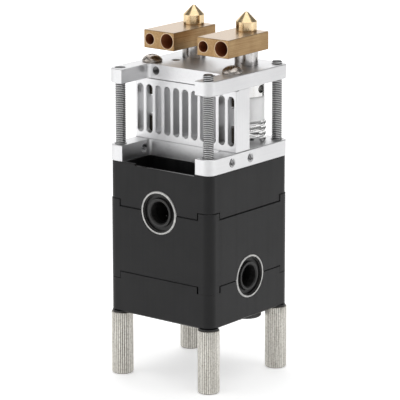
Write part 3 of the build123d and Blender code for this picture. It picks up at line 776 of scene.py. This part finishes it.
def dress_body():
    plastic = housing_plastic()
    for layer in ("lower", "middle", "upper"):
        dress(f"{layer}_housing", plastic)
    plate = aluminium("plate_aluminium", 0.78, 0.40, bay_rough=0.35)
    dress("lower_plate", plate)
    dress("upper_plate", plate)
    dress("cooling_block", aluminium("block_aluminium", 0.80, 0.38, lines=ALONG_Z))
    washer = dark_moulding("washer_plastic", 0.009, 0.45)
    for corner in CORNERS:
        dress(f"thumb_washer_{corner}", washer)


def dress_bearings():
    rubber = seal_rubber()
    cage = dark_moulding("bearing_cage_plastic", 0.008, 0.5)
    balls = wire_steel()
    light, dark = (0.58, 0.57, 0.55), (0.30, 0.30, 0.30)
    for layer, axis, height in BEARINGS:
        sleeve = turned_metal(f"{layer}_bearing_steel", light, dark, 0.34, (0, 0, height), axis=axis)
        dress(f"{layer}_bearing_sleeve", sleeve)
        dress(f"{layer}_bearing_seals", rubber)
        dress(f"{layer}_bearing_cage", cage)
        dress(f"{layer}_bearing_balls", balls)


def dress_hot_ends():
    collet = dark_moulding("collet_plastic", 0.012, 0.34)
    liner = white_liner()
    for side in SIDES:
        x, y = middle(f"liner_coupler_{side}")
        centre = (x / MM, y / MM, 0)
        seat = turned_metal(f"seat_brass_{side}", (0.62, 0.44, 0.20), (0.48, 0.32, 0.13), 0.3, centre)
        nozzle = turned_metal(
            f"nozzle_brass_{side}", (0.95, 0.76, 0.49), (0.77, 0.57, 0.32), 0.2, centre, ring_per_m=7000)
        dress(f"tube_collet_{side}", collet)
        dress(f"collet_seat_{side}", seat)
        dress(f"liner_coupler_{side}", liner)
        dress(f"steel_coupler_{side}", coupler_steel(f"coupler_steel_{side}", centre))
        dress(f"heater_block_{side}", heater_brass(f"heater_brass_{side}", centre, HEATER_TURN[side]))
        dress(f"nozzle_{side}", nozzle)


# ---- studio -------------------------------------------------------------------------------------
FLOOR_HALF = 6.0
FLOOR_NEAR, FLOOR_FAR = 0.8, 1.15       # the floor's glow grows between these distances
GLOW_NEAR, GLOW_FAR = 0.50, 0.95
WORLD_STRENGTH = 0.18
LIGHTS = (
    # name, azimuth from +X, distance out, height, width and height of the panel, radiance, aim
    ("softbox_left", -122, 0.50, 0.27, (0.55, 0.55), 0.86, (0, 0, 0.05)),
    ("softbox_right", 18, 0.50, 0.25, (0.26, 0.50), 0.72, (0, 0, 0.05)),
    ("panel_back", 135, 1.0, 0.40, (1.3, 0.7), 0.85, (0, 0, 0.05)),
    ("overhead", 128.4, 0.25, 0.62, (0.6, 1.4), 1.2, (-0.16, 0.2, 0.0)),
)


def floor_paper():
    """Pale paper that glows a little, and more towards its edges, so that it stays white all over."""
    m = Tree("studio_floor")
    paper = m.noise(60, 3, 0.5)
    glow = m.span(m.radius(m.place), FLOOR_NEAR, FLOOR_FAR, GLOW_NEAR, GLOW_FAR)
    m.set(Base_Color=m.blend(paper, (0.90, 0.90, 0.90), (0.93, 0.93, 0.93)), Roughness=0.85)
    m.set(Emission_Color=(1, 1, 1, 1), Emission_Strength=glow)
    m.bump((paper, 0.02, 1.0))
    return m.material


def add_floor():
    made = bmesh.new()
    bmesh.ops.create_grid(made, x_segments=8, y_segments=8, size=FLOOR_HALF)
    mesh = bpy.data.meshes.new("studio_floor")
    made.to_mesh(mesh)
    made.free()
    mesh.materials.append(floor_paper())
    floor = bpy.data.objects.new("studio_floor", mesh)
    scene.collection.objects.link(floor)


def add_light(name, place, aim, size, power):
    data = bpy.data.lights.new(name, "AREA")
    data.shape = "RECTANGLE"
    data.size, data.size_y = size
    data.energy = power
    light = bpy.data.objects.new(name, data)
    light.visible_camera = False
    direction = Vector(aim) - Vector(place)
    light.location = place
    light.rotation_euler = direction.to_track_quat("-Z", "Y").to_euler()
    scene.collection.objects.link(light)


def add_studio():
    world = bpy.data.worlds.new("studio")
    world.use_nodes = True
    background = world.node_tree.nodes["Background"]
    background.inputs["Color"].default_value = (1, 1, 1, 1)
    background.inputs["Strength"].default_value = WORLD_STRENGTH
    scene.world = world
    scene.view_settings.view_transform = "Standard"
    for name, azimuth, distance, height, size, radiance, aim in LIGHTS:
        angle = math.radians(azimuth)
        place = (distance * math.cos(angle), distance * math.sin(angle), height)
        add_light(name, place, aim, size, radiance * math.pi * size[0] * size[1])


add_camera()
add_floor()
add_studio()
dress_body()
dress_bearings()
dress_hot_ends()
add_thumb_screws()
add_springs()
add_block_screws()
add_tapped_threads()
